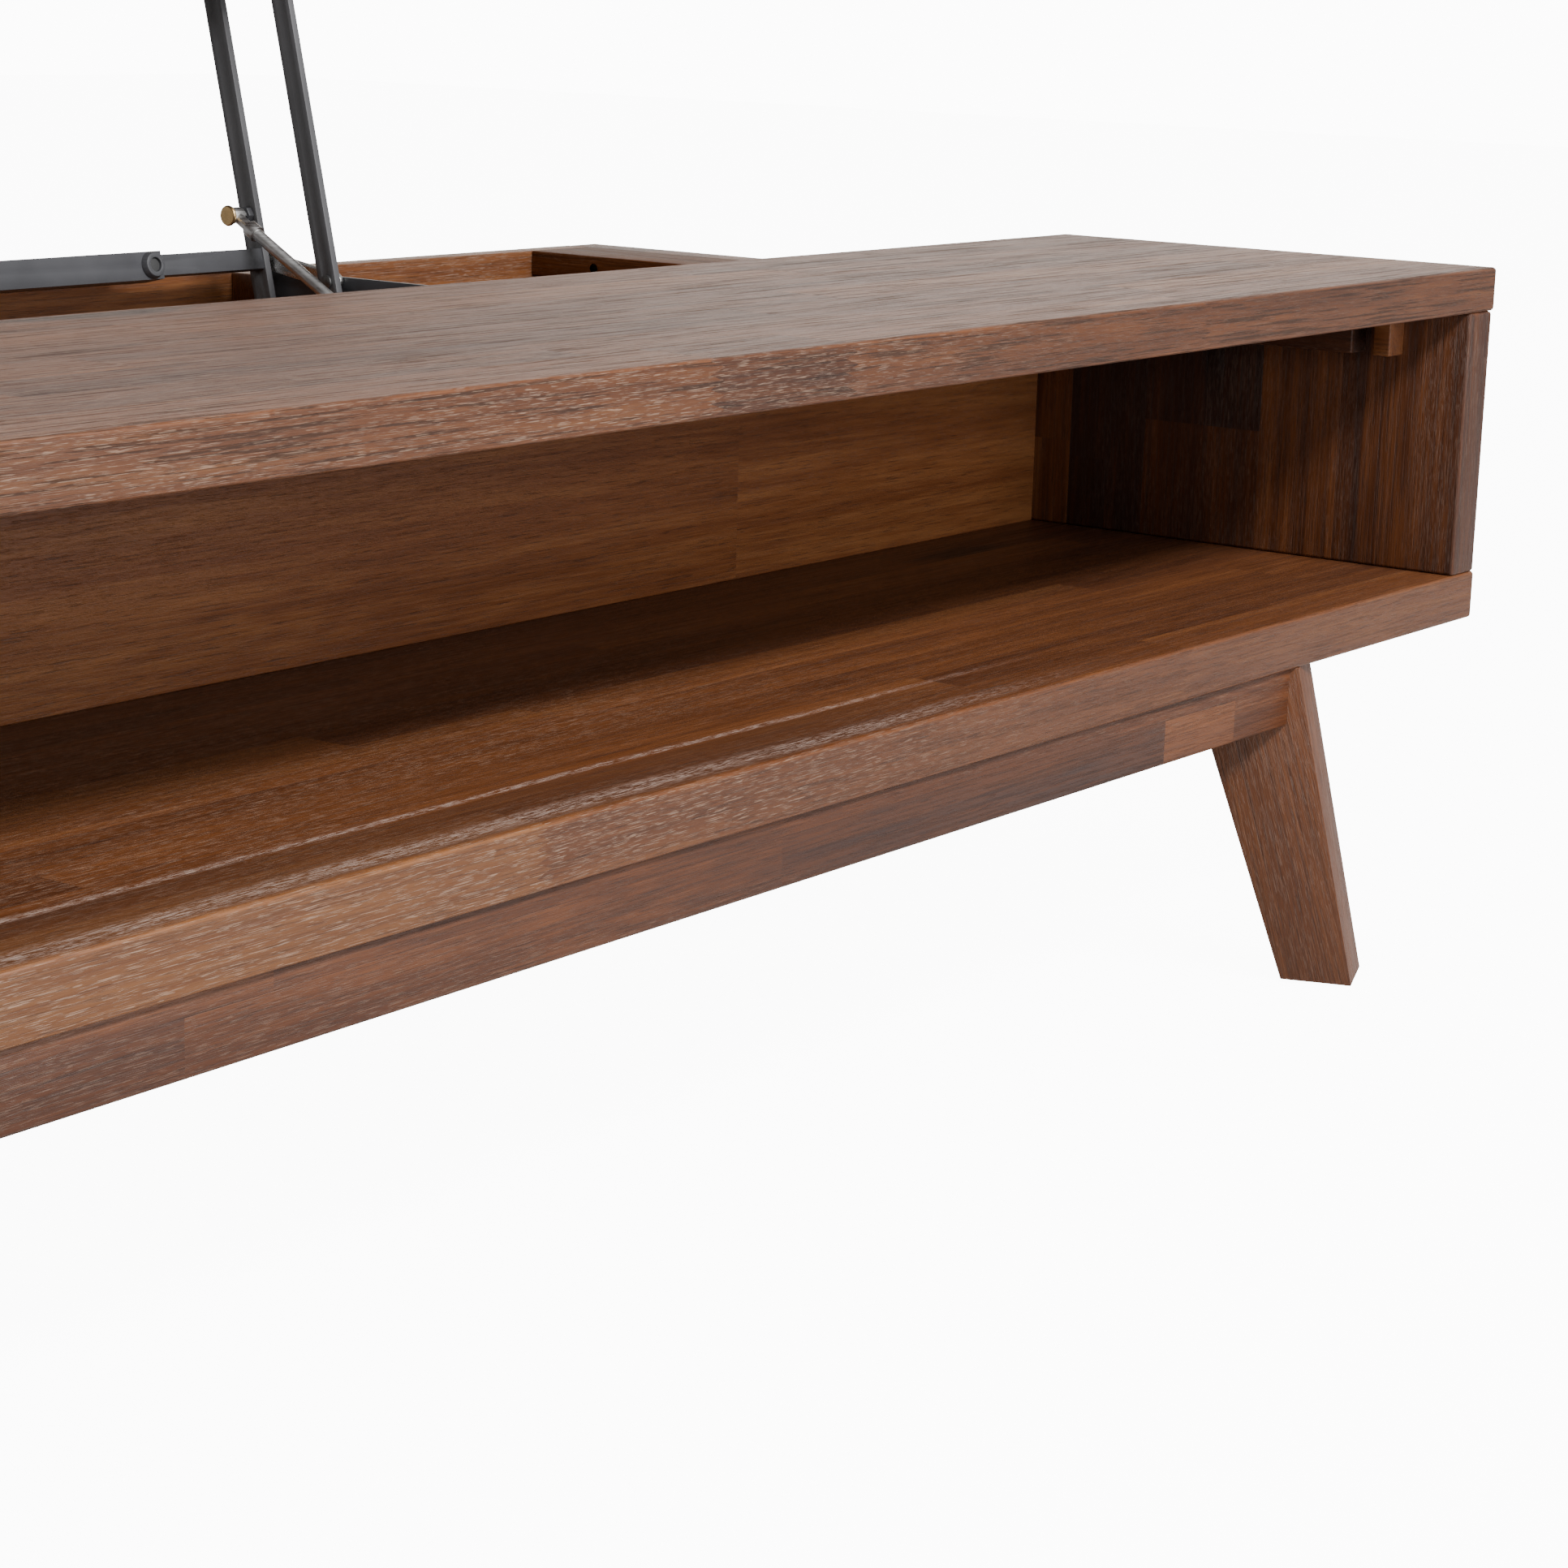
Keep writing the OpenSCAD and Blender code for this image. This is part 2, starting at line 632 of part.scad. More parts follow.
// Angle plate under the lid: a flange against the wood and a web on the pivots
module top_plate(side) color(steel_color) on_table() to_side(side) {
    lid_under = under_z + lid_travel[1];
    front = front_top_pivot[0] - flange_margin;
    rear = rear_top_pivot[0] + flange_margin;
    difference() {
        union() {
            translate([web_x + plate_thickness - flange_width, front, lid_under - plate_thickness])
                cube([flange_width, rear - front, plate_thickness]);
            across(web_x, plate_thickness) polygon([
                [front, lid_under], [front, lid_under - 12],
                [front_top_pivot[0] - 10, front_top_pivot[1] - 10],
                [front_top_pivot[0] + 10, front_top_pivot[1] - 10],
                [rear_top_pivot[0] + 10, rear_top_pivot[1] - 10],
                [rear, lid_under - 12], [rear, lid_under]
            ]);
        }
        for (pivot = [rear_top_pivot, front_top_pivot])
            cross_bar(pivot, web_x - 1, web_x + plate_thickness + 1, pin_radius + fixed_clearance);
        lid_screw_shanks(1.8 + fixed_clearance);
    }
}

module top_plate_left() top_plate(-1);
module top_plate_right() top_plate(1);

// Pins through the top plates' webs that the arms' upper ends turn on
module lid_pins() color(zinc_color) on_table() mirror_x()
    for (pivot = [rear_top_pivot, front_top_pivot]) {
        cross_bar(pivot, arm_x - pin_head, web_x + plate_thickness, pin_radius);
        cross_bar(pivot, arm_x - pin_head, arm_x - 0.3, pin_radius + 2.4);
    }

module lid_screw_places() {
    front = front_top_pivot[0] - flange_margin;
    rear = rear_top_pivot[0] + flange_margin;
    for (y = [front + 10, (front + rear) / 2, rear - 10])
        translate([web_x + plate_thickness - flange_width + 11, y, under_z + lid_travel[1]]) children();
}

module lid_screw_shanks(radius) lid_screw_places()
    translate([0, 0, -plate_thickness - 1]) cylinder(h = plate_thickness + 1 + 0.6 * top_thickness,
                                                     r = radius, $fn = 24);

// Pan-head screws up through the top plates into the lid
module lid_screws() color(zinc_color) on_table() mirror_x() {
    lid_screw_shanks(1.8);
    lid_screw_places() translate([0, 0, -plate_thickness - 2]) cylinder(h = 2, r = 3.6, $fn = 32);
}

// ---- gas strut ----

// The strut's own line: X from the lower stud to the upper one, in its layer
module on_strut(side) on_table() to_side(side)
    translate([strut_x, lower_stud[0], lower_stud[1]]) rotate([strut_angle, 0, 0])
        rotate([0, 0, 90]) children();

body_end = strut_length - strut_stroke - 24;
rod_inside = 26;

// Piston rod: upper socket, neck, collar, and the rod down into the cylinder
module strut_rod(side) color(zinc_color) on_strut(side) difference() {
    union() {
        translate([strut_length, 0, 0]) rotate([90, 0, 0])
            cylinder(h = 9, r = socket_radius, center = true, $fn = 48);
        translate([strut_length - 16, 0, 0]) rotate([0, 90, 0]) cylinder(h = 16, r = 3.6, $fn = 32);
        translate([strut_length - 23, 0, 0]) rotate([0, 90, 0]) cylinder(h = 8, r = 5.5, $fn = 32);
        translate([body_end - rod_inside, 0, 0]) rotate([0, 90, 0])
            cylinder(h = strut_length - body_end + rod_inside - 20, r = rod_radius, $fn = 32);
        translate([body_end - rod_inside - 8, 0, 0]) rotate([0, 90, 0])
            cylinder(h = 8, r = cylinder_radius - 1.6, $fn = 32);
    }
    translate([strut_length, 0, 0]) rotate([90, 0, 0])
        cylinder(h = 20, r = stud_radius + running_clearance, center = true, $fn = 48);
}

module strut_rod_left() strut_rod(-1);
module strut_rod_right() strut_rod(1);

cup_radius = stud_radius + 3.4;

// Gas cylinder: a tube closed round the rod, with a saddle on the lower stud
module strut_cylinder(side) color(steel_color) on_strut(side) {
    difference() {
        translate([22, 0, 0]) rotate([0, 90, 0]) cylinder(h = body_end - 22, r = cylinder_radius, $fn = 48);
        translate([28, 0, 0]) rotate([0, 90, 0])
            cylinder(h = body_end - 34, r = cylinder_radius - 1.5, $fn = 48);
        translate([28, 0, 0]) rotate([0, 90, 0])
            cylinder(h = body_end, r = rod_radius + running_clearance, $fn = 32);
    }
    difference() {
        union() {
            rotate([90, 0, 0]) cylinder(h = 9, r = cup_radius + 2, center = true, $fn = 48);
            rotate([0, 90, 0]) cylinder(h = 23, r = 3.6, $fn = 32);
        }
        rotate([90, 0, 0]) cylinder(h = 20, r = cup_radius, center = true, $fn = 48);
        translate([-2 * cup_radius, -10, -3 * cup_radius]) cube([5 * cup_radius, 20, 3 * cup_radius - 1]);
    }
}

module strut_cylinder_left() strut_cylinder(-1);
module strut_cylinder_right() strut_cylinder(1);

// Ball stud with a hexagon collar, riveted into the base plate's foot
module strut_bracket(side) color(zinc_color) on_table() to_side(side) {
    cross_bar(lower_stud, strut_x + 5.5, plate_x + plate_thickness, stud_radius);
    cross_bar(lower_stud, strut_x + 9, plate_x, stud_radius + 2);
    translate([strut_x, lower_stud[0], lower_stud[1]]) sphere(r = stud_radius + 2.2, $fn = 48);
    cross_bar(lower_stud, strut_x, strut_x + 6, stud_radius - 0.5);
}

module strut_bracket_left() strut_bracket(-1);
module strut_bracket_right() strut_bracket(1);

fixed_top();
lid();
bottom_board();
side_panel_left();
side_panel_right();
divider_panel();
rear_panel();
partition_left();
partition_right();
rest_rail_left();
rest_rail_right();
top_cleat_left();
top_cleat_right();
fixing_block_left();
fixing_block_right();
corner_block_left();
corner_block_right();
cleat_screws();
panel_screws();
apron_front();
apron_rear();
cross_rail_left();
cross_rail_middle();
cross_rail_right();
leg_front_left();
leg_front_right();
leg_rear_left();
leg_rear_right();
leg_dowels();
rail_screws();
foot_glides();
lid_bumpers();
base_plate_left();
base_plate_right();
base_pins();
plate_screws();
rear_arm_left();
rear_arm_right();
cross_tube();
cross_sleeve();
sleeve_bolt();
tube_bolts();
upper_ball_studs();
front_arm_left();
front_arm_right();
tie_link_left();
tie_link_right();
tie_rivet_left();
tie_rivet_right();
top_plate_left();
top_plate_right();
lid_pins();
lid_screws();
strut_rod_left();
strut_rod_right();
strut_cylinder_left();
strut_cylinder_right();
strut_bracket_left();
strut_bracket_right();
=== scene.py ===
"""Looks of the lift top coffee table: lacquered acacia boards, black steel lifts and zinc fittings."""
import json
import math

import bpy
from mathutils import Matrix, Vector


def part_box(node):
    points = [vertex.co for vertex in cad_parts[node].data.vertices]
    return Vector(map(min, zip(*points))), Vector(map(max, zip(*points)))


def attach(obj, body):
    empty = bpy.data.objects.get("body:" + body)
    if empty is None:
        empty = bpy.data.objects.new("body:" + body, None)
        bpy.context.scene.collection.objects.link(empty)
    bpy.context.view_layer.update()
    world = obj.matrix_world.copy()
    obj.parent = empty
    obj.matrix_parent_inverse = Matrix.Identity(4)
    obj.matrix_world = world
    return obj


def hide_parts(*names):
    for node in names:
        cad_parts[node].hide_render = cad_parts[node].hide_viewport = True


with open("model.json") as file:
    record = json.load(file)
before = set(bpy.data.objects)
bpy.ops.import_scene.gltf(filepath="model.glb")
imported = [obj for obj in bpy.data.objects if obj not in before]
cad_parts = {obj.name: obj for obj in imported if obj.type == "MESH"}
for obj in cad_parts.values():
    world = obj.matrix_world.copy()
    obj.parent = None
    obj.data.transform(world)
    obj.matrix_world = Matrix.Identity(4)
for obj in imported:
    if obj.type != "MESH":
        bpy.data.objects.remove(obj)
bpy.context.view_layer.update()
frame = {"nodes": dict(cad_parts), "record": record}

NODE_BODY = {
    node: body
    for body, nodes in frame["record"]["behaviour"]["bodies"].items()
    for node in nodes
}
NODE_SLOT = {row["node"]: row["material_slot"] for row in frame["record"]["subparts"]}

MM = 0.001
# Turns that bring a board's fibres onto X and the width of its staves onto Y
FLAT_BOARD = (0, 0, 0)
UPRIGHT_BOARD = (math.radians(-90), 0, 0)
END_PANEL = (0, math.radians(90), 0)
CROSS_BOARD = (0, 0, math.radians(-90))
FINGER_PITCH = 6.5 * MM
FINGER_LENGTH = 11 * MM
GLUE_LINE = 0.35 * MM
# Span in metres that the places of joints given outright are taken along
LONGEST = 1.6


# ---- node trees ----


def new_material(name):
    """An empty material and its output node."""
    material = bpy.data.materials.new(name)
    material.use_nodes = True
    material.node_tree.nodes.clear()
    return material, material.node_tree


def node(tree, kind, inputs=None, **settings):
    """A shader node, with its settings, and its inputs set or linked."""
    made = tree.nodes.new("ShaderNode" + kind)
    for name, value in settings.items():
        setattr(made, name, value)
    for socket, value in (inputs or {}).items():
        if isinstance(value, bpy.types.NodeSocket):
            tree.links.new(value, made.inputs[socket])
        else:
            made.inputs[socket].default_value = value
    return made


def maths(tree, operation, a, b=0.0, c=0.0):
    """One sum on numbers or sockets."""
    return node(tree, "Math", {0: a, 1: b, 2: c}, operation=operation).outputs[0]


def product(tree, first, second):
    """Two numbers or sockets multiplied."""
    return maths(tree, "MULTIPLY", first, second)


def difference(tree, first, second):
    """The first number or socket less the second."""
    return maths(tree, "SUBTRACT", first, second)


def spread(tree, value, low, high, to_low=0.0, to_high=1.0):
    """Maps the stretch low..high of a value to to_low..to_high, clamped, with soft ends."""
    made = node(tree, "MapRange", {0: value, 1: low, 2: high, 3: to_low, 4: to_high})
    made.interpolation_type = "SMOOTHSTEP"
    return made.outputs[0]


def stretched_noise(tree, vector, per_metre, detail=3.0, roughness=0.55, distortion=0.0):
    """Noise whose cells have their own number per metre along each axis."""
    scaled = node(tree, "VectorMath", {0: vector, 1: per_metre}, operation="MULTIPLY")
    inputs = {"Vector": scaled.outputs[0], "Scale": 1.0, "Detail": detail}
    inputs.update({"Roughness": roughness, "Distortion": distortion})
    return node(tree, "TexNoise", inputs).outputs["Fac"]


def tinted(tree, factor, a, b):
    """Mixes two colours, each a colour or a socket."""
    return node(tree, "Mix", {0: factor, 6: a, 7: b}, data_type="RGBA").outputs[2]


def ramp(tree, value, stops, interpolation="LINEAR"):
    """Colour along a list of (place, colour) stops."""
    made = node(tree, "ValToRGB", {0: value})
    made.color_ramp.interpolation = interpolation
    elements = made.color_ramp.elements
    while len(elements) < len(stops):
        elements.new(0.5)
    for element, (place, colour) in zip(elements, stops):
        element.position = place
        element.color = (*colour, 1)
    return made.outputs[0]


def finish_with(tree, inputs):
    """The Principled shader and the output."""
    shader = node(tree, "BsdfPrincipled", inputs)
    output = node(tree, "OutputMaterial")
    tree.links.new(shader.outputs[0], output.inputs[0])


# ---- finishes ----

ACACIA_TONES = [
    (0.0, (0.027, 0.0095, 0.0055)),
    (0.3, (0.062, 0.0180, 0.0052)),
    (0.6, (0.125, 0.0400, 0.0115)),
    (1.0, (0.230, 0.0920, 0.0300)),
]
PORE_BROWN = (0.014, 0.005, 0.003, 1)
GRAIN_BROWN = (0.016, 0.007, 0.003, 1)
KNOT_BROWN = (0.010, 0.005, 0.004, 1)
GLUE_BROWN = (0.012, 0.004, 0.002, 1)
EDGE_BROWN = (0.040, 0.015, 0.007, 1)
# Painted highlight: pale colour of the glints painted along the grain
PAINTED_GLINT_COLOUR = (0.40, 0.27, 0.19, 1)
# Painted highlight: pale colour of the runs of painted glints along a top face's front edge
PAINTED_GLINT_RUN_COLOUR = (0.42, 0.31, 0.26, 1)
KNOT_SHARE = 0.125
# A piece whose tone is given is numbered by that tone
CELLS_PER_TONE = 97.0
# Places of the two runs of painted glints, measured inwards from a board's front edge
FRONT_RUN = 20 * MM
BACK_RUN = 62 * MM


def joined_pieces(tree, along, row_place, seed, piece, tone_span, courses):
    """Number and tone of the finger-jointed piece at each point, and its place along the row.

    courses gives the tones of chosen rows outright: {row: [(start, tone), ...]}, with starts in
    metres from the object's middle, or from the floor on an upright stave.
    """
    row = maths(tree, "FLOOR", row_place)
    row_seed = node(tree, "CombineXYZ", {0: row, 1: float(seed)}).outputs[0]
    row_random = node(tree, "TexWhiteNoise", {"Vector": row_seed}).outputs["Value"]
    place = maths(tree, "MULTIPLY_ADD", row_random, 9.0, maths(tree, "DIVIDE", along, piece))
    cell = maths(tree, "FLOOR", place)
    number = node(tree, "CombineXYZ", {0: cell, 1: row, 2: float(seed)}).outputs[0]
    random = node(tree, "TexWhiteNoise", {"Vector": number}).outputs["Value"]
    tone = maths(tree, "MULTIPLY_ADD", random, tone_span[1] - tone_span[0], tone_span[0])
    for chosen, pieces in (courses or {}).items():
        share = maths(tree, "ADD", maths(tree, "DIVIDE", along, LONGEST), 0.5)
        stops = [(start / LONGEST + 0.5, (given,) * 3) for start, given in pieces]
        given_tone = ramp(tree, share, stops, "CONSTANT")
        here = maths(tree, "COMPARE", row, float(chosen), 0.1)
        tone = node(tree, "Mix", {0: here, 2: tone, 3: given_tone}).outputs[0]
        given_cell = product(tree, given_tone, CELLS_PER_TONE)
        cell = node(tree, "Mix", {0: here, 2: cell, 3: given_cell}).outputs[0]
    number = node(tree, "CombineXYZ", {0: cell, 1: row, 2: float(seed)}).outputs[0]
    return number, tone, place


def with_open_grain(tree, colour, fibres, grooved):
    """Dark open pores and long open grain, with the mask of each."""
    pores = stretched_noise(tree, fibres, (42.0, 1250.0, 1250.0), 2.0, 0.6)
    pore_mask = spread(tree, pores, 0.58, 0.68)
    colour = tinted(tree, product(tree, pore_mask, 0.45), colour, PORE_BROWN)
    grain = stretched_noise(tree, fibres, (11.0, 560.0, 560.0), 4.0, 0.68)
    groove = product(tree, spread(tree, grain, 0.53, 0.60), grooved)
    return tinted(tree, product(tree, groove, 0.75), colour, GRAIN_BROWN), pore_mask, groove


def with_knots(tree, colour, fibres, streaks):
    """Rare knots, drawn out along the fibres, with a rim that follows the streaks."""
    stretched = node(tree, "VectorMath", {0: fibres, 1: (4.5, 15.0, 15.0)}, operation="MULTIPLY").outputs[0]
    cells = node(tree, "TexVoronoi", {"Vector": stretched, "Scale": 1.0})
    random = node(tree, "SeparateColor", {0: cells.outputs["Color"]}).outputs[0]
    size = spread(tree, random, 1.0 - KNOT_SHARE, 1.0, 0.0, 0.26)
    away = maths(tree, "MULTIPLY_ADD", difference(tree, streaks, 0.5), 0.45, cells.outputs["Distance"])
    knot = spread(tree, difference(tree, size, away), -0.06, 0.10)
    return tinted(tree, product(tree, knot, 0.75), colour, KNOT_BROWN)


def with_painted_glints(tree, colour, board, fibres, along, glint_strength, cover, glints_to):
    """Painted glints: pale flecks along the grain that stand for light caught in the lacquer, with their
    mask.
    """
    patches = stretched_noise(tree, board, (1.6, 14.0, 14.0), 2.0, 0.5)
    glints = stretched_noise(tree, fibres, (62.0, 2900.0, 2900.0), 2.0, 0.6)
    breaks = stretched_noise(tree, fibres, (130.0, 700.0, 700.0), 1.0)
    flecks = product(tree, spread(tree, glints, 0.53, 0.60), spread(tree, breaks, 0.40, 0.56))
    flecks = product(tree, flecks, spread(tree, patches, cover, cover + 0.2))
    faded = spread(tree, along, glints_to - 0.25, glints_to + 0.25, glint_strength, 0.15 * glint_strength)
    return tinted(tree, product(tree, flecks, faded), colour, PAINTED_GLINT_COLOUR), flecks


def with_dark_edge_and_glint_runs(tree, colour, board, fibres, along, inward, edge_and_glint_runs, glints_to):
    """Along the front edge of a top face: darker wood between two speckled runs of painted glints."""
    strip = spread(tree, inward, 0.048, 0.056, 1.0, 0.0)
    strip = product(tree, strip, spread(tree, inward, 0.003, 0.006))
    faded = spread(tree, along, glints_to - 0.1, glints_to + 0.25, edge_and_glint_runs, 0.0)
    colour = tinted(tree, product(tree, product(tree, strip, faded), 0.7), colour, EDGE_BROWN)
    slow = stretched_noise(tree, board, (3.0, 3.0, 3.0), 1.0)
    wander = maths(tree, "MULTIPLY_ADD", slow, 0.012, inward)
    from_front = maths(tree, "ABSOLUTE", difference(tree, wander, FRONT_RUN))
    from_back = maths(tree, "ABSOLUTE", difference(tree, wander, BACK_RUN))
    front_run = spread(tree, from_front, 0.002, 0.011, 0.9, 0.0)
    back_run = spread(tree, from_back, 0.001, 0.004, 1.0, 0.0)
    runs = product(tree, maths(tree, "MAXIMUM", front_run, back_run), faded)
    specks = stretched_noise(tree, fibres, (110.0, 1500.0, 1500.0), 3.0, 0.8)
    return tinted(tree, product(tree, runs, spread(tree, specks, 0.49, 0.56)), colour, PAINTED_GLINT_RUN_COLOUR)


def acacia(name, turn, seed, stave=0.046, piece=0.52, shift=0.0, tone_span=(0.34, 0.66), courses=None,
           glint_strength=0.4, cover=0.42, glints_to=9.0, edge_and_glint_runs=0.0, grooved=0.3, streaky=0.6, gloss=0.35):
    """Lacquered staves, finger-jointed end to end, each with its own tone, figure and pores.

    brushed is how pale the painted glints in the grooves look, cover where they start to show (lower
    is more of them), glints_to where they fade out along the board, pooled how strong the darker strip and
    the runs of painted glints by the front edge are, grooved how open the grain is, and gloss how much of
    the room it mirrors.
    """
    material, tree = new_material(name)
    place = node(tree, "TexCoord").outputs["Object"]
    board = node(tree, "Mapping", {"Vector": place, "Rotation": turn}).outputs[0]
    along, across, through = node(tree, "SeparateXYZ", {0: board}).outputs
    inward = difference(tree, across, shift)

    # The fingers of the end joints show as a zigzag on the board's edge
    finger = maths(tree, "PINGPONG", through, FINGER_PITCH / 2)
    fingered = maths(tree, "MULTIPLY_ADD", finger, FINGER_LENGTH / (FINGER_PITCH / 2), along)
    row_place = maths(tree, "DIVIDE", inward, stave)
    number, tone, piece_place = joined_pieces(tree, fingered, row_place, seed, piece, tone_span, courses)
    jump = node(tree, "TexWhiteNoise", {"Vector": number}).outputs["Color"]
    jump = node(tree, "VectorMath", {0: jump, 1: (4.0, 4.0, 4.0)}, operation="MULTIPLY").outputs[0]
    fibres = node(tree, "VectorMath", {0: board, 1: jump}, operation="ADD").outputs[0]

    # Long streaks, growth rings as contours of a slow field, and fine fibres
    bands = stretched_noise(tree, fibres, (1.3, 20.0, 20.0), 2.0, 0.5, 0.4)
    streaks = stretched_noise(tree, fibres, (3.0, 95.0, 95.0), 4.0, 0.62, 0.3)
    rings = maths(tree, "SINE", product(tree, bands, 90.0))
    fine = stretched_noise(tree, fibres, (20.0, 620.0, 620.0), 3.0, 0.7)
    value = maths(tree, "MULTIPLY_ADD", difference(tree, bands, 0.5), 0.45, tone)
    value = maths(tree, "MULTIPLY_ADD", difference(tree, streaks, 0.5), streaky, value)
    value = maths(tree, "MULTIPLY_ADD", rings, 0.035, value)
    value = maths(tree, "MULTIPLY_ADD", difference(tree, fine, 0.5), 0.50, value)
    colour = ramp(tree, value, ACACIA_TONES)

    colour, pore_mask, groove = with_open_grain(tree, colour, fibres, grooved)
    colour = with_knots(tree, colour, fibres, streaks)

    # Glue lines between staves and at the finger joints
    row_line = spread(tree, maths(tree, "PINGPONG", row_place, 0.5), 0.0, GLUE_LINE / stave, 1.0, 0.0)
    end_line = spread(tree, maths(tree, "PINGPONG", piece_place, 0.5), 0.0, GLUE_LINE / piece, 1.0, 0.0)
    line = row_line if courses else maths(tree, "MAXIMUM", row_line, end_line)
    colour = tinted(tree, product(tree, line, 0.35), colour, GLUE_BROWN)

    # Painted glints: pale flecks that stand for light caught in the lacquer
    colour, flecks = with_painted_glints(tree, colour, board, fibres, along, glint_strength, cover, glints_to)
    # Darker front strip of wood and two runs of painted glints along the front edge
    if edge_and_glint_runs:
        colour = with_dark_edge_and_glint_runs(tree, colour, board, fibres, along, inward, edge_and_glint_runs, glints_to)

    height = maths(tree, "MULTIPLY_ADD", pore_mask, -0.5, product(tree, fine, 0.8))
    height = maths(tree, "MULTIPLY_ADD", flecks, 0.7, height)
    height = maths(tree, "MULTIPLY_ADD", line, -0.6, height)
    height = maths(tree, "MULTIPLY_ADD", groove, -1.6, height)
    bump = node(tree, "Bump", {"Strength": 0.5, "Distance": 0.0006, "Height": height})
    rough = maths(tree, "MULTIPLY_ADD", fine, 0.30, 0.30)
    rough = maths(tree, "MULTIPLY_ADD", groove, 0.35, rough)
    finish_with(tree, {
        "Base Color": colour,
        "Roughness": rough,
        "Normal": bump.outputs[0],
        "Specular IOR Level": gloss,
        "Coat Weight": 0.05,
        "Coat Roughness": 0.30,
    })
    return material


def worn_paint(name, colour, roughness, edge):
    """Satin powder coat: fine orange peel, slightly lighter in patches."""
    material, tree = new_material(name)
    place = node(tree, "TexCoord").outputs["Object"]
    peel = stretched_noise(tree, place, (900.0, 900.0, 900.0), 2.0)
    cloud = stretched_noise(tree, place, (14.0, 14.0, 14.0), 3.0)
    mixed = tinted(tree, spread(tree, cloud, 0.35, 0.75), (*colour, 1), (*edge, 1))
    bump = node(tree, "Bump", {"Strength": 0.18, "Distance": 0.0002, "Height": peel})
    finish_with(tree, {
        "Base Color": mixed,
        "Roughness": spread(tree, cloud, 0.2, 0.8, roughness - 0.06, roughness + 0.06),
        "Normal": bump.outputs[0],
        "Specular IOR Level": 0.5,
    })
    return material


def plated(name, colour, roughness, per_metre):
    """Bright metal with fine drawn lines and faint clouding."""
    material, tree = new_material(name)
    place = node(tree, "TexCoord").outputs["Object"]
    lines = stretched_noise(tree, place, per_metre, 3.0)
    cloud = stretched_noise(tree, place, (60.0, 60.0, 60.0), 3.0)
    dull = tuple(0.72 * c for c in colour)
    mixed = tinted(tree, spread(tree, cloud, 0.3, 0.75), (*colour, 1), (*dull, 1))
    bump = node(tree, "Bump", {"Strength": 0.12, "Distance": 0.0001, "Height": lines})
    finish_with(tree, {
        "Base Color": mixed,
        "Metallic": 1.0,
        "Roughness": spread(tree, lines, 0.3, 0.7, roughness - 0.07, roughness + 0.09),
        "Normal": bump.outputs[0],
    })
    return material


def plain_rubber(name, colour):
    """Matt rubber with a fine grain."""
    material, tree = new_material(name)
    place = node(tree, "TexCoord").outputs["Object"]
    grain = stretched_noise(tree, place, (1500.0, 1500.0, 1500.0), 2.0)
    lighter = tuple(1.8 * c for c in colour)
    bump = node(tree, "Bump", {"Strength": 0.25, "Distance": 0.0002, "Height": grain})
    finish_with(tree, {
        "Base Color": tinted(tree, grain, (*colour, 1), (*lighter, 1)),
        "Roughness": spread(tree, grain, 0.3, 0.7, 0.62, 0.78),
        "Normal": bump.outputs[0],
    })
    return material


ARM_STEEL = worn_paint("arm_steel", (0.078, 0.077, 0.081), 0.45, (0.104, 0.103, 0.108))
BLACK_STEEL = worn_paint("black_steel", (0.040, 0.040, 0.044), 0.42, (0.060, 0.060, 0.066))
ZINC = plated("zinc", (0.66, 0.66, 0.64), 0.30, (40.0, 900.0, 900.0))
DULL_ZINC = plated("dull_zinc", (0.20, 0.20, 0.20), 0.42, (300.0, 300.0, 300.0))
ROD_STEEL = plated("rod_steel", (0.58, 0.57, 0.56), 0.38, (60.0, 60.0, 1200.0))
BRASS = plated("brass", (0.62, 0.42, 0.20), 0.33, (500.0, 500.0, 500.0))
RUBBER = plain_rubber("rubber", (0.020, 0.020, 0.020))


# ---- making and finishing pieces ----


def deselect():
    """Leaves no object selected."""
    bpy.ops.object.select_all(action="DESELECT")


def only(piece):
    """Makes a piece the one selected and active object."""
    deselect()
    piece.select_set(True)
    bpy.context.view_layer.objects.active = piece


def applied(piece, kind, **settings):
    """Adds a modifier and applies it."""
    only(piece)
    modifier = piece.modifiers.new(kind.lower(), kind)
    for name, value in settings.items():
        setattr(modifier, name, value)
    bpy.ops.object.modifier_apply(modifier=modifier.name)


def dressed(piece, name, body, slot, material, *nodes):
    """Names a finished piece, places it in its mesh, paints it and fixes it to its body."""
    only(piece)
    bpy.ops.object.transform_apply(location=True, rotation=True, scale=True)
    piece.name = name
    piece.data.name = name
    piece.data.materials.clear()
    piece.data.materials.append(material)
    bpy.ops.object.shade_smooth_by_angle(angle=math.radians(35))
    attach(piece, body)
    if nodes:
        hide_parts(*nodes)
    return piece


def eased(node_name, radius, material, segments=3):
    """A copy of a CAD solid with its arrises rounded over, which stands for it."""
    cad = frame["nodes"][node_name]
    piece = bpy.data.objects.new(node_name + "_copy", cad.data.copy())
    bpy.context.scene.collection.objects.link(piece)
    only(piece)
    bpy.ops.mesh.customdata_custom_splitnormals_clear()
    bpy.ops.object.mode_set(mode="EDIT")
    bpy.ops.mesh.select_all(action="SELECT")
    bpy.ops.mesh.remove_doubles(threshold=0.01 * MM)
    bpy.ops.mesh.dissolve_limited(angle_limit=math.radians(1))
    bpy.ops.object.mode_set(mode="OBJECT")
    applied(piece, "BEVEL", width=radius, segments=segments, limit_method="ANGLE",
            angle_limit=math.radians(30), use_clamp_overlap=True)
    return dressed(piece, "shaped_" + node_name, NODE_BODY[node_name], NODE_SLOT[node_name], material,
                   node_name)


# ---- boards ----


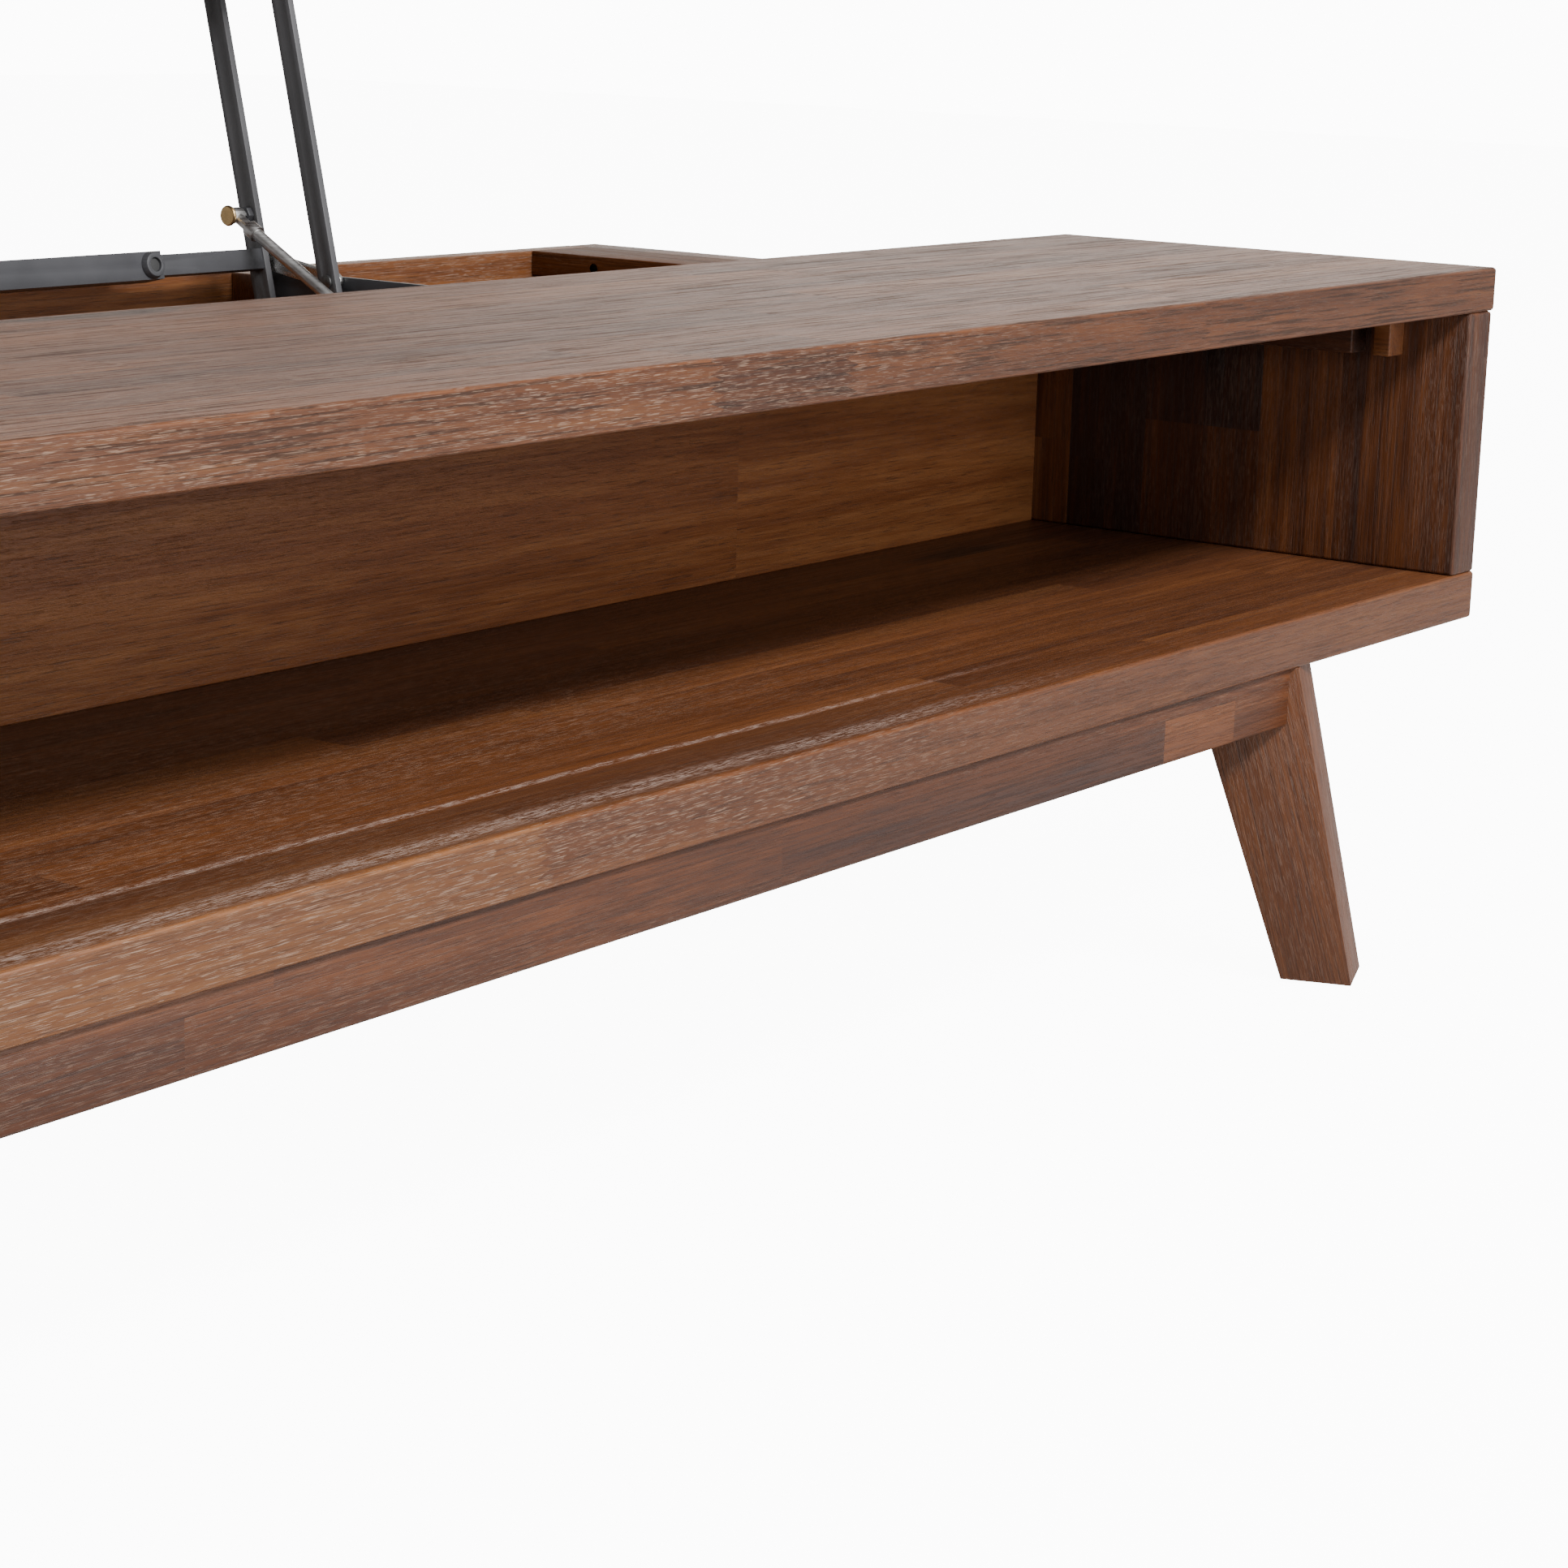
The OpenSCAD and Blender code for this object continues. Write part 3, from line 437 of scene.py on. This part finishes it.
def leg_turn(node_name):
    """Turn that brings a leg's fibres onto X: from its top's middle to its foot's middle."""
    low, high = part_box(node_name)
    points = [v.co for v in frame["nodes"][node_name].data.vertices]
    top = [p for p in points if p.z > high.z - MM]
    foot = [p for p in points if p.z < low.z + MM]
    along = (sum(foot, Vector()) / len(foot) - sum(top, Vector()) / len(top)).normalized()
    side = along.cross(Vector((0, 0, 1))).normalized()
    return Matrix((along, side.cross(along), side)).to_euler("XYZ")


EDGE = 2.2 * MM
BOTTOM_EDGE = 1.8 * MM
PANEL_EDGE = 1.0 * MM
BASE_EDGE = 1.5 * MM
LEG_EDGE = 3.0 * MM

# Tones of the pieces in each row of staves, from the left, with each piece's start
FRONT_EDGE_OF_TOP = {0: [(-0.8, 0.56), (-0.46, 0.53), (-0.021, 0.36), (0.085, 0.50), (0.43, 0.52)]}
FRONT_EDGE_OF_BOTTOM = {0: [(-0.8, 0.57), (-0.52, 0.80), (-0.142, 0.55), (0.43, 0.59)]}
APRON_PIECES = {
    0: [(-0.8, 0.20), (-0.350, 0.32), (0.048, 0.17), (0.415, 0.54), (0.50, 0.34)],
    1: [(-0.8, 0.34), (-0.30, 0.31), (0.100, 0.28)],
}
DIVIDER_PIECES = {0: [(-0.8, 0.66), (0.428, 0.70)]}
# Staves of the end panels from the front, each cut into pieces by height above the floor; the near-black
# tones from row 5 on are partly darker pieces and partly painted shade deep in the shelf
END_PANEL_TONES_AND_SHADE = {
    0: [(-0.8, 0.34)],
    1: [(-0.8, 0.36)],
    2: [(-0.8, 0.26)],
    3: [(-0.8, 0.50)],
    4: [(-0.8, 0.46)],
    5: [(-0.8, 0.27), (0.307, 0.03)],
    6: [(-0.8, 0.27), (0.307, 0.0)],
    7: [(-0.8, 0.24), (0.307, 0.02)],
    8: [(-0.8, 0.06)],
    9: [(-0.8, 0.02), (0.28, 0.08)],
}

front_of_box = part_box("bottom_board")[0].y
top_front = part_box("fixed_top")[0].y
apron_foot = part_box("apron_front")[0].z

# brushed, cover and glints_to place the painted glints; pooled sets the darker front strip and the runs of
# painted glints
top_finish = acacia("acacia_fixed_top", FLAT_BOARD, 3, shift=top_front, courses=FRONT_EDGE_OF_TOP,
                    cover=0.26, glints_to=0.15, grooved=0.9)
eased("fixed_top", EDGE, top_finish)
eased("lid", EDGE, acacia("acacia_lid", FLAT_BOARD, 11, grooved=0.9))
bottom_finish = acacia("acacia_bottom_board", FLAT_BOARD, 5, stave=0.034, shift=front_of_box,
                       courses=FRONT_EDGE_OF_BOTTOM, cover=0.30, glints_to=0.15, edge_and_glint_runs=0.75)
eased("bottom_board", BOTTOM_EDGE, bottom_finish)
divider_finish = acacia("acacia_divider", UPRIGHT_BOARD, 7, stave=0.21, piece=1.1, shift=0.15,
                        courses=DIVIDER_PIECES, glint_strength=0.05, grooved=0.1)
eased("divider_panel", PANEL_EDGE, divider_finish)
# The rear panel's lighter tones are partly painted light, standing in for light on its inner face, which the
# top and lid shade
rear_tones_and_light = acacia("acacia_rear", UPRIGHT_BOARD, 13, stave=0.062, piece=0.7, tone_span=(0.62, 0.85))
eased("rear_panel", PANEL_EDGE, rear_tones_and_light)
for apron_name, seed in {"apron_front": 17, "apron_rear": 19}.items():
    finish = acacia("acacia_" + apron_name, UPRIGHT_BOARD, seed, stave=0.026, piece=0.42, shift=apron_foot,
                    courses=APRON_PIECES, glint_strength=0.15, tone_span=(0.25, 0.5))
    eased(apron_name, BASE_EDGE, finish)
for rail_name, seed in {"cross_rail_left": 23, "cross_rail_middle": 29, "cross_rail_right": 31}.items():
    eased(rail_name, BASE_EDGE, acacia("acacia_" + rail_name, CROSS_BOARD, seed, stave=0.03))
for side, seed in {"left": 37, "right": 41}.items():
    panel = acacia("acacia_end_" + side, END_PANEL, seed, stave=0.0295, piece=0.7, shift=front_of_box,
                   courses=END_PANEL_TONES_AND_SHADE, glint_strength=0.1, streaky=1.1)
    inner = acacia("acacia_inner_" + side, END_PANEL, seed + 2, stave=0.06, piece=0.4, tone_span=(0.6, 0.85))
    rail = acacia("acacia_rail_" + side, CROSS_BOARD, seed + 4, stave=0.05, tone_span=(0.36, 0.5),
                  gloss=0.02)
    small = acacia("acacia_small_" + side, CROSS_BOARD, seed + 6, stave=0.05, tone_span=(0.5, 0.7))
    # Painted shade: the cleats get near-black tones for the shade they sit in under the top
    shaded_cleat = acacia("acacia_cleat_" + side, CROSS_BOARD, seed + 8, stave=0.05, tone_span=(0.1, 0.2))
    eased("side_panel_" + side, EDGE, panel)
    eased("partition_" + side, PANEL_EDGE, inner)
    eased("rest_rail_" + side, PANEL_EDGE, rail)
    eased("top_cleat_" + side, PANEL_EDGE, shaded_cleat)
    eased("fixing_block_" + side, PANEL_EDGE, small)
    eased("corner_block_" + side, PANEL_EDGE, small)
for leg_name, seed in {"front_left": 43, "front_right": 47, "rear_left": 53, "rear_right": 59}.items():
    finish = acacia("acacia_leg_" + leg_name, leg_turn("leg_" + leg_name), seed, stave=0.06, piece=2.0,
                    tone_span=(0.44, 0.5), glint_strength=0.1)
    eased("leg_" + leg_name, LEG_EDGE, finish)
eased("leg_dowels", 0.5 * MM, acacia("beech", END_PANEL, 61, stave=0.05, tone_span=(0.85, 0.95)))

# ---- steel and rubber ----

for side in ("left", "right"):
    for steel, paint in {"rear_arm_": ARM_STEEL, "front_arm_": ARM_STEEL, "base_plate_": BLACK_STEEL,
                         "top_plate_": BLACK_STEEL}.items():
        eased(steel + side, 0.5 * MM, paint, 2)
    eased("strut_cylinder_" + side, 0.7 * MM, BLACK_STEEL, 2)
    eased("strut_rod_" + side, 0.5 * MM, ROD_STEEL, 2)
    eased("strut_bracket_" + side, 0.4 * MM, ZINC, 2)
    eased("tie_link_" + side, 0.4 * MM, ZINC, 2)
    eased("tie_rivet_" + side, 0.6 * MM, DULL_ZINC, 2)
eased("cross_tube", 1.2 * MM, BLACK_STEEL)
eased("cross_sleeve", 1.6 * MM, BLACK_STEEL)
eased("sleeve_bolt", 0.4 * MM, BLACK_STEEL, 2)
for fitting in ("tube_bolts", "base_pins", "lid_pins"):
    eased(fitting, 0.8 * MM, ZINC, 2)


def bar_along_x(name, start, end, centre, radius, bevel, material, vertices=40):
    """A round or six-sided bar between two X places, with eased ends, on the ball studs' body."""
    middle = ((start + end) / 2, centre.y, centre.z)
    deselect()
    bpy.ops.mesh.primitive_cylinder_add(vertices=vertices, radius=radius, depth=abs(end - start),
                                        location=middle, rotation=(0, math.radians(90), 0))
    piece = bpy.context.active_object
    applied(piece, "BEVEL", width=bevel, segments=4, limit_method="ANGLE", angle_limit=math.radians(40))
    return dressed(piece, name, NODE_BODY["upper_ball_studs"], NODE_SLOT["upper_ball_studs"],
                   material, "upper_ball_studs")


CAP_GROWTH = 1.2
CAP_THICKNESS = 2.8 * MM
SHANK_RADIUS = 3.0 * MM
NUT_RADIUS = 5.6 * MM
NUT_THICKNESS = 4.5 * MM
stud_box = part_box("upper_ball_studs")
stud_centre = (stud_box[0] + stud_box[1]) / 2
cap_radius = CAP_GROWTH * (stud_box[1].z - stud_box[0].z) / 2
stud_ends = [abs(vertex.co.x) for vertex in frame["nodes"]["upper_ball_studs"].data.vertices]
cap_face, stud_tail = min(stud_ends), max(stud_ends)
shank_start = cap_face + 1.5 * MM
arm_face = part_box("rear_arm_right")[0].x
for side, sign in {"left": -1, "right": 1}.items():
    bar_along_x("ball_stud_cap_" + side, sign * cap_face, sign * (cap_face + CAP_THICKNESS), stud_centre,
                cap_radius, 1.25 * MM, BRASS)
    bar_along_x("ball_stud_shank_" + side, sign * shank_start, sign * stud_tail, stud_centre,
                SHANK_RADIUS, 0.4 * MM, ZINC)
    bar_along_x("ball_stud_nut_" + side, sign * (arm_face - NUT_THICKNESS), sign * arm_face, stud_centre,
                NUT_RADIUS, 0.5 * MM, BLACK_STEEL, vertices=6)


def widest_facing(mesh):
    """The direction that most of a mesh's area faces."""
    areas = {}
    for face in mesh.polygons:
        direction = tuple(round(part, 2) for part in face.normal)
        areas[direction] = areas.get(direction, 0.0) + face.area
    return Vector(max(areas, key=areas.get)).normalized()


def sleeve_bolt_socket_shade():
    """Painted shade: a black disc sunk in the hollow head of the sleeve's bolt, standing for the shade in
    its socket; the bolt's widest face lies on the sleeve.
    """
    radius = 4.5 * MM
    thickness = 1.4 * MM
    sunk = 2.4 * MM
    bolt = frame["nodes"]["sleeve_bolt"].data
    outwards = -widest_facing(bolt)
    points = [vertex.co for vertex in bolt.vertices]
    head_end = max(point.dot(outwards) for point in points)
    rim = [point for point in points if head_end - point.dot(outwards) < 0.2 * MM]
    middle = sum(rim, Vector()) / len(rim) - sunk * outwards
    facing = Vector((0, 0, 1)).rotation_difference(outwards).to_euler()
    deselect()
    bpy.ops.mesh.primitive_cylinder_add(vertices=40, radius=radius, depth=thickness,
                                        location=middle, rotation=facing)
    shade_disc = bpy.context.active_object
    applied(shade_disc, "BEVEL", width=0.4 * MM, segments=3, limit_method="ANGLE", angle_limit=math.radians(40))
    dressed(shade_disc, "sleeve_bolt_socket_shade", NODE_BODY["sleeve_bolt"], NODE_SLOT["foot_glides"], RUBBER)


# A black disc as painted shade in the socket of the sleeve's bolt
sleeve_bolt_socket_shade()
for screws in ("cleat_screws", "panel_screws", "rail_screws", "plate_screws", "lid_screws"):
    eased(screws, 0.3 * MM, ZINC, 2)
eased("foot_glides", 0.6 * MM, RUBBER, 2)
eased("lid_bumpers", 1.5 * MM, RUBBER)

# ---- studio ----

FLOOR_HALF = 12.0
# Strength of the white surroundings as light, and as the camera sees them behind the table
SKY_LIGHT = 0.5
SKY_SEEN = 12.0
FLOOR_SEEN = 11.0
CAMERA_PLACE = Vector((-1.2804, -1.4762, 0.599))
HEADING = math.radians(-53.88)
TILT = math.radians(76.79)
ROLL = math.radians(1.61)
LENS = 79.3

deselect()
bpy.ops.mesh.primitive_plane_add(size=2 * FLOOR_HALF, location=(0, 0, 0))
floor = bpy.context.active_object
floor.name = "studio_floor"
floor_material, floor_tree = new_material("studio_floor")
camera_ray = node(floor_tree, "LightPath").outputs["Is Camera Ray"]
finish_with(floor_tree, {
    "Base Color": (0.55, 0.55, 0.55, 1),
    "Roughness": 0.9,
    "Specular IOR Level": 0.1,
    "Emission Color": (1, 1, 1, 1),
    "Emission Strength": product(floor_tree, camera_ray, FLOOR_SEEN),
})
floor.data.materials.append(floor_material)

world = bpy.data.worlds.new("studio")
world.use_nodes = True
bpy.context.scene.world = world
background = world.node_tree.nodes["Background"]
background.inputs["Color"].default_value = (1, 1, 1, 1)
seen = node(world.node_tree, "LightPath").outputs["Is Camera Ray"]
sky_strength = spread(world.node_tree, seen, 0, 1, SKY_LIGHT, SKY_SEEN)
world.node_tree.links.new(sky_strength, background.inputs["Strength"])


def softbox(name, place, target, width, height, power, colour=(1, 1, 1)):
    """A rectangular area light that faces a point."""
    light = bpy.data.lights.new(name, "AREA")
    light.color = colour
    light.shape = "RECTANGLE"
    light.size = width
    light.size_y = height
    light.energy = power
    holder = bpy.data.objects.new(name, light)
    bpy.context.scene.collection.objects.link(holder)
    holder.location = place
    holder.rotation_euler = (Vector(target) - Vector(place)).to_track_quat("-Z", "Y").to_euler()
    holder.visible_camera = False


shelf_middle = (0.1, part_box("divider_panel")[0].y - 0.1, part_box("bottom_board")[1].z)
softbox("key", (0.0, -3.1, 3.1), shelf_middle, 2.6, 0.6, 258)
softbox("fill", (0.3, -4.2, 1.1), shelf_middle, 2.6, 1.0, 100)
softbox("backdrop", (4.2, 2.6, 1.6), (0, 0, 0.4), 6.5, 2.4, 74, (1.0, 0.92, 0.83))

camera_data = bpy.data.cameras.new("camera")
camera_data.lens = LENS
camera_data.sensor_width = 36
camera_data.clip_start = 0.01
camera_data.clip_end = 60
camera = bpy.data.objects.new("camera", camera_data)
bpy.context.scene.collection.objects.link(camera)
turn = Matrix.Rotation(HEADING, 4, "Z") @ Matrix.Rotation(TILT, 4, "X") @ Matrix.Rotation(ROLL, 4, "Z")
camera.matrix_world = Matrix.Translation(CAMERA_PLACE) @ turn
bpy.context.scene.camera = camera
